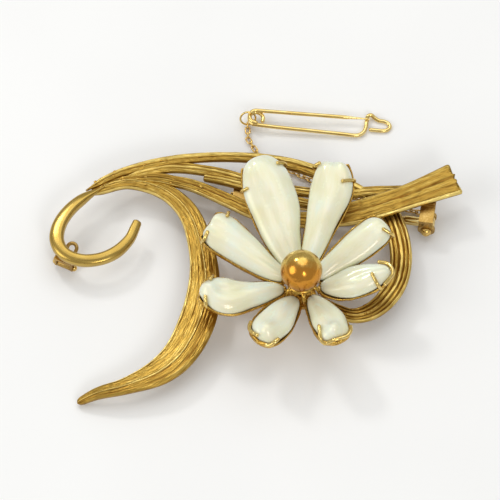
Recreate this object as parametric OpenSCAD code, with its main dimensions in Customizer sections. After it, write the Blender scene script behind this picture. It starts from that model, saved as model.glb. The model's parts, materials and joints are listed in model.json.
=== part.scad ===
// Flower brooch: eight pearl petals in wire claws, a gold bead, a spray of bark-textured
// stems and leaves, a pin stem with hinge and turning catch, a folding loop for a necklace,
// and a chain with a safety pin.
// The brooch lies on its back, face up. Millimetres.

/* [Pearl petals] */
// Thickness of a pearl petal at its thickest
pearl_thick = 2.7; // [2.0:0.1:3.0]
// Gap between a pearl and the metal around it
pearl_gap = 0.08; // [0.05:0.01:0.15]
// Wall of the petal cup behind each pearl
cup_wall = 0.4; // [0.3:0.05:0.5]
// Diameter of the claw wires
claw_d = 0.55; // [0.4:0.05:0.6]

/* [Centre] */
// Diameter of the polished bead
bead_d = 6.1; // [5.0:0.1:6.2]
// Height of the bead's centre
bead_z = 12; // [11.8:0.1:13]
// Diameter of the post that carries the bead
post_d = 1.1; // [0.8:0.1:1.4]
// Diameter of the flower's base disc
base_d = 4.4; // [4.0:0.1:5.0]

/* [Pin stem, hinge and catch] */
// Height of the pin stem's axis
pin_z = 1.6; // [1.6:0.1:1.8]
// Angle of the pin stem to the brooch's long axis
pin_lean = -8; // [-8.5:0.5:-7.5]
// Length of the pin stem from its hinge to its point
pin_length = 30.6; // [30:0.2:32]
// Diameter of the pin stem
pin_d = 1.0; // [0.8:0.05:1.0]
// Diameter of the hinge rivet
rivet_d = 0.96; // [0.8:0.02:0.98]
// Distance from the hinge to the middle of the catch
catch_reach = 28.4; // [28:0.1:28.8]

/* [Folding loop] */
// Wire of the folding loop
bail_wire_d = 0.56; // [0.5:0.02:0.6]
// Length of the folding loop from its hinge to the end of its straight sides
bail_reach = 2.7; // [2.4:0.1:2.9]

/* [Chain and safety pin] */
// Wire of the chain links
link_wire_d = 0.22; // [0.16:0.02:0.24]
// Width of a link between the middles of its sides
link_width = 0.66; // [0.64:0.01:0.7]
// Straight side of a link
link_side = 0.53; // [0.5:0.01:0.54]
// Wire of the safety pin
safety_wire_d = 0.6; // [0.5:0.05:0.6]
// Radius of the safety pin's coil at the middle of the wire
coil_r = 1.05; // [1.0:0.05:1.1]

/* [Hidden] */
$fn = 48;
RIBS = ["curl_stem", "long_leaf", "top_stem", "second_stem", "short_stem",
        "flare_leaf", "loop_leaf"];
PETALS = [1, 2, 3, 4, 5, 6, 7, 8];
CHAIN = ["chain_near", "chain_middle", "chain_far", "chain_end"];

// The whole brooch is moved so that its origin is under the middle of its box
home = [-0.93, 1.62, 0];

// Stations along each stem and leaf, from the bunch outwards:
// [x, y, z of the middle, width, thickness, lean in degrees]
curl_route = [
    [-21.9, 8.6, 4.1, 1.2, 1.4, 0], [-24.9, 6.6, 4.1, 1.6, 1.7, 0],
    [-27.0, 4.6, 4.1, 1.9, 1.8, 0], [-28.4, 2.3, 4.1, 2.1, 1.8, 0],
    [-28.9, -0.1, 4.1, 2.2, 1.8, 0], [-28.3, -2.1, 4.1, 2.1, 1.8, 0],
    [-26.9, -3.4, 4.1, 1.9, 1.8, 0], [-24.6, -4.0, 4.1, 1.8, 1.8, 0],
    [-22.0, -3.6, 4.1, 1.8, 1.8, 0], [-19.8, -2.4, 4.1, 1.8, 1.8, 0],
    [-18.1, -0.5, 4.1, 1.6, 1.7, 0], [-17.3, 1.3, 4.1, 1.5, 1.6, 0],
    [-16.8, 2.7, 4.1, 1.3, 1.4, 0]];
long_route = [
    [-24.9, 7.1, 3.7, 1.2, 0.9, 0], [-21.8, 8.6, 3.7, 1.9, 1.1, 0],
    [-18.4, 9.5, 3.7, 2.1, 1.1, 0], [-14.5, 8.7, 3.7, 2.4, 1.1, 0],
    [-11.5, 7.0, 3.7, 2.8, 1.1, 0], [-9.2, 4.2, 3.8, 3.2, 1.1, 0],
    [-7.8, 0.4, 4.0, 3.6, 1.2, 0], [-6.9, -4.4, 4.1, 4.2, 1.2, 0],
    [-6.9, -9.0, 4.1, 4.9, 1.2, 0], [-7.8, -14.0, 4.0, 5.5, 1.2, 0],
    [-10.1, -19.0, 3.8, 5.1, 1.2, 0], [-13.4, -22.3, 3.5, 4.3, 1.2, 0],
    [-18.3, -24.4, 3.0, 2.6, 1.2, 0], [-22.5, -25.2, 2.1, 1.8, 1.2, 0],
    [-25.6, -26.0, 0.5, 1.0, 0.9, 0]];
top_route = [
    [-24.6, 7.9, 4.1, 0.9, 0.9, 0], [-20.7, 10.3, 4.1, 1.2, 1.0, 0],
    [-16.9, 11.8, 4.1, 1.4, 1.0, 0], [-12.4, 12.9, 4.1, 1.5, 1.0, 0],
    [-7.5, 13.5, 4.1, 1.5, 1.0, 0], [-2.8, 13.6, 4.1, 1.5, 1.0, 0],
    [1.6, 13.3, 4.1, 1.7, 1.0, 0], [6.0, 12.4, 4.1, 2.0, 1.0, 0],
    [9.5, 11.3, 4.0, 2.1, 1.0, 0], [13.5, 9.6, 3.8, 2.1, 1.0, 0],
    [16.8, 7.8, 3.7, 1.8, 1.0, 0]];
second_route = [
    [-19.5, 9.9, 3.9, 1.0, 0.9, 0], [-15.0, 11.4, 3.9, 1.5, 1.0, 0],
    [-11.0, 11.9, 3.9, 1.7, 1.0, 0], [-7.0, 11.5, 3.8, 1.7, 1.0, 0],
    [-3.5, 10.8, 3.7, 1.7, 1.0, 0], [0.0, 9.7, 3.6, 1.6, 1.0, 0],
    [5.0, 8.4, 3.6, 1.6, 1.0, 0], [12.0, 7.6, 3.6, 1.6, 1.0, 0],
    [18.5, 7.9, 3.8, 1.7, 1.0, 0], [24.0, 8.0, 4.0, 1.6, 0.9, 0]];
short_route = [
    [-6.9, 10.2, 4.2, 1.4, 1.1, 0], [-4.0, 9.6, 4.2, 1.6, 1.1, 0],
    [-1.0, 8.8, 4.1, 1.7, 1.0, 0], [3.0, 7.3, 4.0, 1.6, 1.0, 0],
    [8.0, 5.9, 3.9, 1.5, 0.9, 0], [13.0, 5.2, 3.6, 1.2, 0.8, 0]];
flare_route = [
    [-21.5, 9.3, 3.8, 1.1, 0.9, 0], [-15.0, 10.1, 3.9, 1.6, 1.0, 0],
    [-11.1, 9.5, 3.9, 1.8, 1.0, 0], [-7.9, 8.5, 4.0, 2.0, 1.0, 0],
    [-3.2, 6.1, 4.2, 2.2, 1.1, 0], [0.3, 4.2, 4.4, 2.3, 1.1, 0],
    [3.8, 3.0, 4.5, 2.4, 1.1, 0], [8.0, 2.6, 4.6, 2.6, 1.1, 0],
    [12.0, 2.9, 4.8, 3.2, 1.1, 0], [16.2, 3.7, 5.0, 3.9, 1.1, 0],
    [20.3, 5.0, 5.2, 4.0, 1.1, 0], [24.5, 6.5, 5.4, 4.2, 1.1, 0],
    [30.8, 9.1, 5.6, 5.4, 1.1, 0]];
loop_route = [
    [15.0, 8.8, 3.5, 1.2, 0.8, 0], [18.0, 7.4, 3.5, 2.2, 0.9, 0],
    [20.2, 5.4, 3.5, 2.7, 1.0, 0], [21.6, 2.6, 3.6, 3.1, 1.0, 0],
    [22.4, -1.0, 3.6, 3.3, 1.0, 0], [22.5, -4.2, 3.6, 3.3, 1.0, 0],
    [21.8, -7.6, 3.6, 3.2, 1.0, 0], [20.1, -10.4, 3.6, 3.1, 1.0, 0],
    [17.9, -12.3, 3.6, 2.8, 1.0, 0], [15.4, -13.0, 3.6, 2.3, 1.0, 0],
    [13.0, -12.2, 3.6, 2.0, 1.0, 0], [9.2, -10.2, 3.7, 1.8, 1.0, 0]];
rib_routes = [curl_route, long_route, top_route, second_route, short_route,
              flare_route, loop_route];

// The flower's axis
flower = [7.6, -9.8];

// Spine of each pearl petal from the root to the tip: [x, y, z, width, share of
// the full thickness, lean]
pearl_spines = [
    [[6.6, -7.1, 7.0, 3.4, 0.75, 0], [4.9, -1.9, 7.8, 5.6, 0.9, 0], [3.6, 2.9, 8.6, 7.3, 1, 0],
     [2.4, 6.8, 9.3, 7.3, 1, 0], [0.6, 10.3, 9.9, 5.6, 0.9, 0]],
    [[8.3, -7.0, 7.0, 3.0, 0.75, 0], [10.0, -1.5, 7.9, 4.0, 0.9, 0], [11.2, 2.2, 8.6, 5.4, 1, 0],
     [12.2, 5.8, 9.3, 6.2, 1, 0], [12.3, 9.9, 10.0, 5.6, 0.9, 0]],
    [[9.9, -8.2, 6.8, 2.6, 0.75, 0], [12.1, -6.6, 7.3, 3.2, 0.85, 0], [15.6, -4.1, 8.4, 4.7, 1, 0],
     [18.4, -2.1, 9.3, 5.0, 1, 0], [20.1, -0.6, 9.8, 4.4, 0.9, 0]],
    [[10.5, -9.7, 6.6, 2.6, 0.75, 0], [13.2, -9.8, 7.3, 4.2, 0.9, 0], [15.6, -9.5, 8.1, 4.9, 1, 0],
     [18.0, -9.2, 8.9, 4.3, 0.95, 0], [20.8, -8.6, 9.6, 2.8, 0.8, 0]],
    [[9.0, -11.4, 6.6, 2.6, 0.75, 0], [10.6, -14.1, 7.4, 4.0, 0.9, 0], [11.7, -16.5, 8.3, 4.8, 1, 0],
     [12.4, -18.6, 9.1, 4.6, 1, 0], [12.8, -19.8, 9.4, 4.0, 0.9, 0]],
    [[6.8, -11.6, 6.6, 2.6, 0.75, 0], [5.2, -13.9, 7.3, 4.2, 0.9, 0], [3.6, -16.5, 8.2, 5.2, 1, 0],
     [2.3, -18.6, 9.0, 4.8, 1, 0], [1.5, -19.7, 9.4, 4.2, 0.9, 0]],
    [[5.0, -10.0, 6.6, 2.2, 0.75, 0], [2.7, -10.7, 7.2, 3.2, 0.85, 0], [0.0, -11.7, 7.9, 4.2, 0.95, 0],
     [-3.0, -12.4, 8.7, 5.6, 1, 0], [-5.5, -12.0, 9.3, 5.0, 1, 0], [-7.4, -11.5, 9.7, 3.4, 0.9, 0]],
    [[5.3, -8.4, 6.8, 2.4, 0.75, 0], [2.1, -6.5, 7.5, 3.8, 0.9, 0], [-1.2, -4.1, 8.3, 5.2, 1, 0],
     [-4.2, -2.0, 9.2, 6.0, 1, 0], [-6.4, -0.7, 9.7, 5.4, 0.9, 0]]];

// Bluntness of each pearl's ends
pearl_blunt = [5, 5, 5, 4, 4, 4, 4, 6];

// The wall of each petal cup, as angles round the pearl: its two rims
cup_rims = [[206, 344], [188, 334], [210, 356], [186, 336],
            [176, 350], [176, 350], [188, 362], [190, 366]];

// Claw wires over each pearl. A wire's points are [place along the pearl, angle round it];
// angle 0 is the pearl's left edge seen from the root, 90 its top and 180 its right edge
claw_paths = [
    [[[0.80, 205], [0.80, 180], [0.81, 155], [0.82, 135]],
     [[0.72, -25], [0.71, 0], [0.70, 20], [0.70, 35]]],
    [[[0.80, 205], [0.80, 180], [0.79, 150], [0.77, 118]],
     [[0.90, -25], [0.90, 0], [0.91, 25], [0.92, 40]]],
    [[[0.88, 205], [0.88, 180], [0.87, 150], [0.84, 115]]],
    [[[0.80, 200], [0.80, 178], [0.79, 140], [0.77, 100]],
     [[0.86, 10], [0.95, 12], [0.995, 60], [0.97, 160], [0.86, 176]]],
    [[[0.90, 200], [0.86, 180], [0.80, 160], [0.72, 145], [0.64, 135]],
     [[0.72, 5], [0.84, 6], [0.95, 10], [0.995, 60], [0.99, 150], [0.95, 185]]],
    [[[0.70, 176], [0.82, 178], [0.93, 172], [0.985, 120]],
     [[0.78, 25], [0.84, 20], [0.92, 0], [0.96, -20]]],
    [[[0.84, 205], [0.84, 180], [0.85, 155], [0.86, 130]],
     [[0.80, -25], [0.82, 0], [0.84, 25], [0.86, 45]]],
    [[[0.86, -25], [0.86, 0], [0.86, 30], [0.87, 55]],
     [[0.80, 205], [0.80, 180], [0.80, 155], [0.79, 135]]]];

// Struts under the petal cups: [petal, share along it, foot height]
rests = [[0, 0.90, 4.4], [1, 0.84, 4.1], [2, 0.93, 3.9], [6, 0.84, 4.5], [7, 0.72, 4.3]];

// Straight chain runs: [pairs of links, heading in degrees]
chain_runs = [[8, 165], [8, 152], [2, 120], [1, 92]];
chain_z = 0.5;

// Turning ring between chain and safety pin, and the safety pin's own frame
ring_r = 1.15;
ring_wire_d = 0.3;
ring_middle = [-0.3, 21.76, 1.52];
ring_tilt = [0, 65, -84];
coil_middle = [0.95, 21.9, 1.2];
safety_turn = [0, 2.6, -4.3];
layer = safety_wire_d + 0.03;

hinge_place = [26.6, 3.8, pin_z];
ear_gap = 0.05;
knuckle_w = 1.5;
ear_w = 0.6;
ear_r = pin_z;

bail_place = [-27.7, -3.0, 1.0];
bail_turn = -25;
bail_rise = 22;
bail_knuckle_w = 2.1;
bail_lug_w = 0.35;
bail_rivet_d = 0.5;

// ---------- curves and lofts ----------

// Smooth curve through four stations
function through(a, b, c, d, t) =
    0.5 * (2 * b + (c - a) * t + (2 * a - 5 * b + 4 * c - d) * t * t
    + (3 * b - a - 3 * c + d) * t * t * t);

// Station at share u of a route
function at(route, u) =
    let (n = len(route) - 1,
         i = max(0, min(floor(u * n), n - 1)),
         t = u * n - i)
    through(route[max(i - 1, 0)], route[i], route[i + 1], route[min(i + 2, n)], t);

function place(row) = [row[0], row[1], row[2]];
function unit(v) = v / norm(v);
function heading(route, u) =
    unit(place(at(route, min(1, u + 0.01))) - place(at(route, max(0, u - 0.01))));
function side_of(d, lean, ref = [0, 0, 1]) =
    let (flat = unit(cross(ref, d)), up = cross(d, flat))
    flat * cos(lean) + up * sin(lean);
function power(c, e) = sign(c) * pow(abs(c), e);

// Ring of points round a station: half width a, half thickness b, squareness e
function ring(middle, d, lean, a, b, e, sides, ref = [0, 0, 1]) =
    let (s = side_of(d, lean, ref), n = cross(d, s))
    [for (k = [0:sides - 1])
        let (w = 360 * (k + 0.5) / sides)
        middle + s * a * power(cos(w), 2 / e) + n * b * power(sin(w), 2 / e)];

// Closed skin over a list of rings with the same number of points
module skin(rings) {
    n = len(rings[0]);
    last = len(rings) - 1;
    polyhedron(
        points = [for (r = rings) for (p = r) p],
        faces = concat(
            [[for (k = [0:n - 1]) k]],
            [for (i = [0:last - 1]) for (k = [0:n - 1])
                let (m = (k + 1) % n)
                [i * n + k, (i + 1) * n + k, (i + 1) * n + m, i * n + m]],
            [[for (k = [n - 1:-1:0]) last * n + k]]));
}

// Bar along a route with a rounded, nearly rectangular section
module ribbon(route, rings, sides = 10, e = 3.4) {
    skin([for (i = [0:rings])
        let (u = i / rings, r = at(route, u))
        ring(place(r), heading(route, u), r[5], r[3] / 2, r[4] / 2, e, sides)]);
}

// Round wire through a list of points that bend mostly in one plane
module wire(points, d, rings, sides = 6) {
    last = len(points) - 1;
    start = points[0];
    plane = unit(cross(points[floor(last / 2)] - start, points[last] - start));
    skin([for (i = [0:rings])
        let (u = i / rings)
        ring(at(points, u), heading(points, u), 0, d / 2, d / 2, 2, sides, plane)]);
}

// ---------- stems and leaves ----------

module rib(k) {
    rings = [44, 52, 34, 32, 18, 44, 32];
    tone = k == 0 ? [0.80, 0.65, 0.35] : [0.70, 0.53, 0.20];
    color(tone) ribbon(rib_routes[k], rings[k]);
}

// ---------- pearl petals ----------

// Narrowing towards a pearl's rounded ends
function rounding(u, k) = sqrt(max(0, 1 - pow(abs(2 * u - 1), k)));

// Point on the surface of petal i raised by g, at share u and angle w
function on_pearl(i, u, w, g) =
    let (route = pearl_spines[i],
         r = at(route, u),
         long = norm(place(route[len(route) - 1]) - place(route[0])),
         d = heading(route, u),
         s = side_of(d, r[5]),
         n = cross(d, s),
         c = rounding(u, pearl_blunt[i]),
         g2 = g * min(1, c * 1.6))
    place(r) + d * g * (2 * u - 1)
    + s * (r[3] / 2 * c + g2) * cos(w)
    + n * (pearl_thick / 2 * r[4] * c + g2) * sin(w);

// Even spacing in angle packs the rings towards the rounded ends
function end_packed(i, rings) = (1 - cos(180 * (i + 0.3) / (rings + 0.6))) / 2;

module pearl(i, rings = 16, sides = 14) {
    color([0.93, 0.92, 0.82])
    skin([for (j = [0:rings])
        let (u = end_packed(j, rings))
        [for (k = [0:sides - 1]) on_pearl(i, u, 360 * (k + 0.5) / sides, 0)]]);
}

// Shallow trough that follows the underside of the pearl
module cup(i, rings = 13, half = 6) {
    color([0.68, 0.47, 0.15])
    skin([for (j = [0:rings])
        let (u = end_packed(j, rings), a = cup_rims[i][0], b = cup_rims[i][1])
        concat(
            [for (k = [0:half]) on_pearl(i, u, a + (b - a) * k / half, pearl_gap + cup_wall)],
            [for (k = [half:-1:0]) on_pearl(i, u, a + (b - a) * k / half, pearl_gap)])]);
}

module claws(i) {
    color([0.82, 0.66, 0.30])
    for (path = claw_paths[i])
        wire([for (p = path) on_pearl(i, p[0], p[1], pearl_gap + claw_d / 2)], claw_d, 9);
}

// ---------- flower centre ----------

module flower_base() {
    color([0.62, 0.45, 0.16])
    translate([flower[0], flower[1], 0]) difference() {
        union() {
            translate([0, 0, 3.6]) cylinder(d = base_d, h = 0.8);
            translate([0, 0, 4.4]) cylinder(d = base_d - 1.6, h = 0.5);
        }
        translate([0, 0, 3]) cylinder(d = post_d + 0.06, h = 3);
    }
}

module bead_post() {
    color([0.70, 0.52, 0.20])
    translate([flower[0], flower[1], 3.6]) {
        cylinder(d = post_d, h = bead_z - 3.6);
        translate([0, 0, bead_z - 3.6 - bead_d / 2 - 0.6]) cylinder(d = 2.6, h = 0.5);
    }
}

module centre_bead() {
    color([0.90, 0.68, 0.25])
    translate([flower[0], flower[1], bead_z]) difference() {
        sphere(d = bead_d);
        translate([0, 0, -bead_d]) cylinder(d = post_d + 0.06, h = bead_d + 0.3);
    }
}

// Short struts that carry the petal cups on the stems below
module petal_rests() {
    color([0.60, 0.44, 0.16])
    for (r = rests)
        let (top = on_pearl(r[0], r[1], 270, pearl_gap + cup_wall / 2))
        translate([top[0], top[1], r[2]]) cylinder(d = 0.8, h = top[2] - r[2]);
}

// ---------- hinge, pin stem and catch ----------

// Frame on the hinge axis: -X along the pin stem, Y along the rivet
module at_hinge() {
    translate(hinge_place) rotate([0, 0, pin_lean]) children();
}

module across(d, w) {
    rotate([90, 0, 0]) translate([0, 0, -w / 2]) cylinder(d = d, h = w);
}

module hinge_base() {
    ear_y = knuckle_w / 2 + ear_gap + ear_w / 2;
    plate_z = 2.0;
    plate_h = 0.6;
    strap_w = 0.9;
    color([0.66, 0.48, 0.20])
    at_hinge() difference() {
        union() {
            for (y = [-ear_y, ear_y]) translate([0, y, 0]) {
                across(2 * ear_r - 0.6, ear_w);
                translate([-strap_w / 2, -ear_w / 2, -ear_r])
                    cube([strap_w, ear_w, ear_r + plate_z + 0.1]);
            }
            translate([-1.2, -ear_y - ear_w / 2, plate_z]) cube([2.2, 4.8, plate_h]);
            translate([-1.1, 1.4, plate_z + plate_h]) cube([2.0, 1.8, 0.75]);
        }
        across(rivet_d + 0.02, 4);
    }
}

module hinge_rivet() {
    long = knuckle_w + 2 * (ear_gap + ear_w);
    color([0.84, 0.68, 0.34])
    at_hinge() {
        across(rivet_d, long + 0.1);
        for (s = [-1, 1])
            rotate([90 * s, 0, 0]) translate([0, 0, long / 2 + 0.02]) intersection() {
                sphere(r = 0.85);
                translate([-1, -1, 0]) cube([2, 2, 1]);
            }
    }
}

module pin_stem() {
    taper = 9;
    shoulder = 3.4;
    color([0.86, 0.72, 0.40])
    at_hinge() difference() {
        union() {
            across(2.3, knuckle_w);
            rotate([0, -90, 0]) cylinder(d = 1.36, h = shoulder);
            rotate([0, -90, 0]) cylinder(d = pin_d, h = pin_length - taper);
            translate([taper - pin_length, 0, 0]) rotate([0, -90, 0])
                cylinder(d1 = pin_d, d2 = 0.2, h = taper);
        }
        across(rivet_d + 0.08, 4);
    }
}

module at_catch() {
    at_hinge() translate([-catch_reach, 0, 0]) rotate([0, 90, 0]) children();
}

// In the catch frame, +X points down, away from the brooch's back
module catch_body() {
    color([0.66, 0.46, 0.20])
    at_catch() difference() {
        union() {
            translate([0, 0, -1]) cylinder(r = 1.5, h = 2);
            // plate that bridges the two stems above
            translate([-2.07, -2.8, -1]) cube([0.7, 4.6, 2]);
        }
        translate([0, 0, -2]) cylinder(r = 1.06, h = 4);
        translate([0, -0.65, -2]) cube([3, 1.3, 4]);
    }
}

module catch_sleeve() {
    color([0.80, 0.62, 0.30])
    at_catch() difference() {
        union() {
            translate([0, 0, -1.45]) cylinder(r = 1.0, h = 2.9);
            for (z = [-1.45, 1.08])
                rotate([0, 0, -60]) translate([0.7, -0.25, z]) cube([0.8, 0.5, 0.37]);
        }
        translate([0, 0, -2]) cylinder(r = 0.62, h = 4);
        translate([0, -0.6, -2]) cube([3, 1.2, 4]);
    }
}

// ---------- folding loop ----------

// Frame on the loop's hinge: X along its pin, Y towards the loop's end
module at_bail() {
    translate(bail_place) rotate([0, 0, bail_turn]) children();
}

module along_x(d, w) {
    translate([-w / 2, 0, 0]) rotate([0, 90, 0]) cylinder(d = d, h = w);
}

module bail_base() {
    lug_x = bail_knuckle_w / 2 + ear_gap + bail_lug_w / 2;
    color([0.62, 0.44, 0.18])
    at_bail() difference() {
        union() {
            for (x = [-lug_x, lug_x]) translate([x, 0, 0]) {
                along_x(1.2, bail_lug_w);
                translate([-bail_lug_w / 2, -0.6, 0]) cube([bail_lug_w, 1.2, 1.8]);
            }
            translate([-lug_x - bail_lug_w / 2, -0.8, 1.75])
                cube([2 * lug_x + bail_lug_w, 1.6, 0.5]);
        }
        along_x(bail_rivet_d + 0.02, 5);
    }
}

module bail_pin() {
    long = bail_knuckle_w + 2 * (ear_gap + bail_lug_w);
    color([0.78, 0.58, 0.26])
    at_bail() {
        along_x(bail_rivet_d, long + 0.1);
        for (s = [-1, 1])
            rotate([0, 90 * s, 0]) translate([0, 0, long / 2 + 0.02]) intersection() {
                sphere(r = 0.5);
                translate([-1, -1, 0]) cube([2, 2, 1]);
            }
    }
}

module bail_loop() {
    side = 0.72;
    color([0.72, 0.54, 0.26])
    at_bail() rotate([bail_rise, 0, 0]) difference() {
        union() {
            along_x(1.1, bail_knuckle_w);
            for (x = [-side, side]) translate([x, 0, 0]) rotate([-90, 0, 0])
                cylinder(d = bail_wire_d, h = bail_reach, $fn = 24);
            translate([0, bail_reach, 0])
                rotate_extrude(angle = 180) translate([side, 0]) circle(d = bail_wire_d, $fn = 24);
        }
        along_x(bail_rivet_d + 0.06, 5);
    }
}

// ---------- chain ----------

// A link lying along X with its middle at the origin, standing on its narrow side
module link() {
    r = link_width / 2;
    rotate([90, 0, 0]) {
        for (s = [-1, 1]) {
            translate([s * link_side / 2, 0, 0]) rotate([0, 0, -90 * s])
                rotate_extrude(angle = 180, $fn = 24) translate([r, 0]) circle(d = link_wire_d);
            translate([-link_side / 2, s * r, 0]) rotate([0, 90, 0])
                cylinder(d = link_wire_d, h = link_side);
        }
    }
}

function step(h) = [cos(h), sin(h), 0];
// A pair is one upright link and one flat link
pair_pitch = 2 * link_side + link_width;
eye_reach = knuckle_w / 2 + ear_gap + ear_w + 0.55;
eye_middle = hinge_place + [0, 0, chain_z - pin_z]
    + eye_reach * [-sin(pin_lean), cos(pin_lean), 0];
function run_start(k) = k == 0 ? eye_middle
    : run_start(k - 1) + chain_runs[k - 1][0] * pair_pitch * step(chain_runs[k - 1][1]);

module chain_run(k) {
    upright_middle = (link_side + link_width) / 2;
    flat_middle = link_side + link_width + link_side / 2;
    h = chain_runs[k][1];
    color([0.78, 0.60, 0.25])
    translate(run_start(k)) rotate([0, 0, h]) {
        for (i = [0:chain_runs[k][0] - 1]) {
            translate([i * pair_pitch + upright_middle, 0, 0]) link();
            translate([i * pair_pitch + flat_middle, 0, 0]) rotate([90, 0, 0]) link();
        }
        // the last run ends in one more upright link, round the turning ring
        if (k == len(chain_runs) - 1)
            translate([chain_runs[k][0] * pair_pitch + upright_middle, 0, 0]) link();
    }
}

module torus(r, d) {
    rotate_extrude($fn = 40) translate([r, 0]) circle(d = d, $fn = 24);
}

module chain_eye() {
    color([0.78, 0.60, 0.25]) translate(eye_middle) torus(0.45, 0.26);
}

module jump_ring() {
    color([0.84, 0.66, 0.28]) translate(ring_middle) rotate(ring_tilt) torus(ring_r, ring_wire_d);
}

// ---------- safety pin ----------

module at_safety() {
    translate(coil_middle) rotate(safety_turn) children();
}

// The fixed half of the safety pin is one bent wire: most of a coil turn, the long
// back, the guard that the point rests against, and the bow at the end
safety_route = concat(
    [for (a = [-20:29:270]) [coil_r * cos(a), coil_r * sin(a), 0]],
    [[3, -1.18, 0], [8, -1.27, 0], [13, -1.37, 0], [15.2, -1.4, 0], [16.2, -0.9, 0],
     [16.6, 0, 0], [16.7, 1.1, 0], [16.8, 1.9, 0.25], [17.3, 2.15, 0.3], [17.8, 1.85, 0.15],
     [18.5, 1.5, 0], [19.3, 1.42, 0], [20.0, 1.1, 0], [20.25, 0.6, 0], [20.0, 0.1, 0],
     [19.3, -0.2, 0], [17.4, -0.2, 0]]);
module safety_pin_body() {
    color([0.90, 0.74, 0.36]) at_safety() wire(safety_route, safety_wire_d, 66, 8);
}

arm_length = 17.2;
arm_point = 4;
arm_turn = [0, 90, 0.7];
module safety_pin_arm() {
    color([0.93, 0.78, 0.42])
    at_safety() translate([0, 0, layer]) {
        rotate([0, 0, 90]) rotate_extrude(angle = 180, $fn = 40)
            translate([coil_r, 0]) circle(d = safety_wire_d, $fn = 24);
        translate([0, coil_r, 0]) rotate(arm_turn) {
            cylinder(d = safety_wire_d, h = arm_length - arm_point, $fn = 24);
            translate([0, 0, arm_length - arm_point])
                cylinder(d1 = safety_wire_d, d2 = 0.2, h = arm_point, $fn = 24);
        }
    }
}

// ---------- assembly ----------

module at_home() {
    translate(home) children();
}

for (k = [0:len(RIBS) - 1])
    at_home() rib(k);
for (i = PETALS) {
    at_home() pearl(i - 1);
    at_home() cup(i - 1);
    at_home() claws(i - 1);
}
at_home() flower_base();
at_home() bead_post();
at_home() centre_bead();
at_home() petal_rests();
at_home() hinge_base();
at_home() hinge_rivet();
at_home() pin_stem();
at_home() catch_body();
at_home() catch_sleeve();
at_home() bail_base();
at_home() bail_pin();
at_home() bail_loop();
at_home() chain_eye();
for (k = [0:len(CHAIN) - 1])
    at_home() chain_run(k);
at_home() jump_ring();
at_home() safety_pin_body();
at_home() safety_pin_arm();
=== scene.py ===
"""The visible pieces of a flower spray brooch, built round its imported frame.

Lengths in the dataclasses are millimetres in the maker's own layout. Layout turns them into
metres in the frame, from where the frame's bead stands.
"""
import json
import logging
import math
from dataclasses import dataclass
from enum import Enum

import bpy
import numpy as np
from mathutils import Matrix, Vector


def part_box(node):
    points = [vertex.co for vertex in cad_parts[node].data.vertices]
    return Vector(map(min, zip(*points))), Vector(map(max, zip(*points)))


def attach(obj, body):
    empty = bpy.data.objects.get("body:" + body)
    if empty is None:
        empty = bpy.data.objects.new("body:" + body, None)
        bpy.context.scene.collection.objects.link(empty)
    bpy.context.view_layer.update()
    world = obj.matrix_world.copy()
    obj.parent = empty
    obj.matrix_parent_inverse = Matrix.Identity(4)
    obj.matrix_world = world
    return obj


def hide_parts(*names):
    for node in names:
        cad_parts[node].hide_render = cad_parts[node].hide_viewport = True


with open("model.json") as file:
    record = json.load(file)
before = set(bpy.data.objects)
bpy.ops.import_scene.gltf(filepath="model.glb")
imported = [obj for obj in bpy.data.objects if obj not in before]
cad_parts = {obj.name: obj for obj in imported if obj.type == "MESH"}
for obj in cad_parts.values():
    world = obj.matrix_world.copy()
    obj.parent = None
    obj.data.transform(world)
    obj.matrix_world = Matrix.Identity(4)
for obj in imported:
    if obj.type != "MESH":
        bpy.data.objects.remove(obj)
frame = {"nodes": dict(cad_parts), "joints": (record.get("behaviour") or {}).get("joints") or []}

MM = 0.001
LOG = logging.getLogger("brooch")
Array = np.ndarray
Colour = tuple[float, float, float]


class Body(Enum):
    """The rigid bodies that pieces ride on."""

    BROOCH = "brooch"
    CHAIN_A = "chain_a"
    CHAIN_B = "chain_b"
    CHAIN_C = "chain_c"
    CHAIN_D = "chain_d"
    SAFETY = "safety_pin"
    ARM = "safety_arm"


class Slot(Enum):
    """The record's material slots."""

    BARK = "bark_gold"
    SATIN = "satin_gold"
    PEARL = "pearl"
    POLISHED = "polished_gold"
    SETTING = "setting_gold"
    FITTING = "fitting_gold"
    CHAIN = "chain_gold"
    PIN = "pin_gold"


# ---------- numbers to shapes ----------


class Grain:
    """Smooth repeatable noise over a plane, from -1 to 1."""

    SIZE = 256

    def __init__(self, seed: int) -> None:
        """Fills the lattice.

        Args:
            seed: picks the lattice, so that each piece has its own grain.
        """
        self.table = np.random.default_rng(seed).uniform(-1, 1, (self.SIZE, self.SIZE))

    def at(self, x: Array, y: Array) -> Array:
        """Noise at points of the plane.

        Args:
            x: first coordinates, where one unit is one lattice cell.
            y: second coordinates.

        Returns:
            The noise at each point.
        """
        i, j = np.floor(x).astype(int), np.floor(y).astype(int)
        p, q = x - i, y - j
        p, q = p * p * (3 - 2 * p), q * q * (3 - 2 * q)
        i0, i1, j0, j1 = i % self.SIZE, (i + 1) % self.SIZE, j % self.SIZE, (j + 1) % self.SIZE
        low = self.table[i0, j0] * (1 - p) + self.table[i1, j0] * p
        high = self.table[i0, j1] * (1 - p) + self.table[i1, j1] * p
        return low * (1 - q) + high * q


def unit(v: Array) -> Array:
    """Vectors of length one, along the last axis."""
    return v / np.linalg.norm(v, axis=-1, keepdims=True)


def ease(x: Array, low: float, high: float) -> Array:
    """Smooth step of x from 0 at low to 1 at high."""
    t = np.clip((x - low) / (high - low), 0, 1)
    return t * t * (3 - 2 * t)


def superellipse(v: Array, power: float) -> Array:
    """Height of a superellipse of half width 1 and half height 1 at v."""
    return np.maximum(0, 1 - np.abs(v) ** power) ** (1 / power)


@dataclass(frozen=True)
class Frames:
    """Stations along a route with a set of axes at each."""

    middle: Array
    along: Array
    side: Array
    up: Array
    width: Array
    thick: Array


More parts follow.
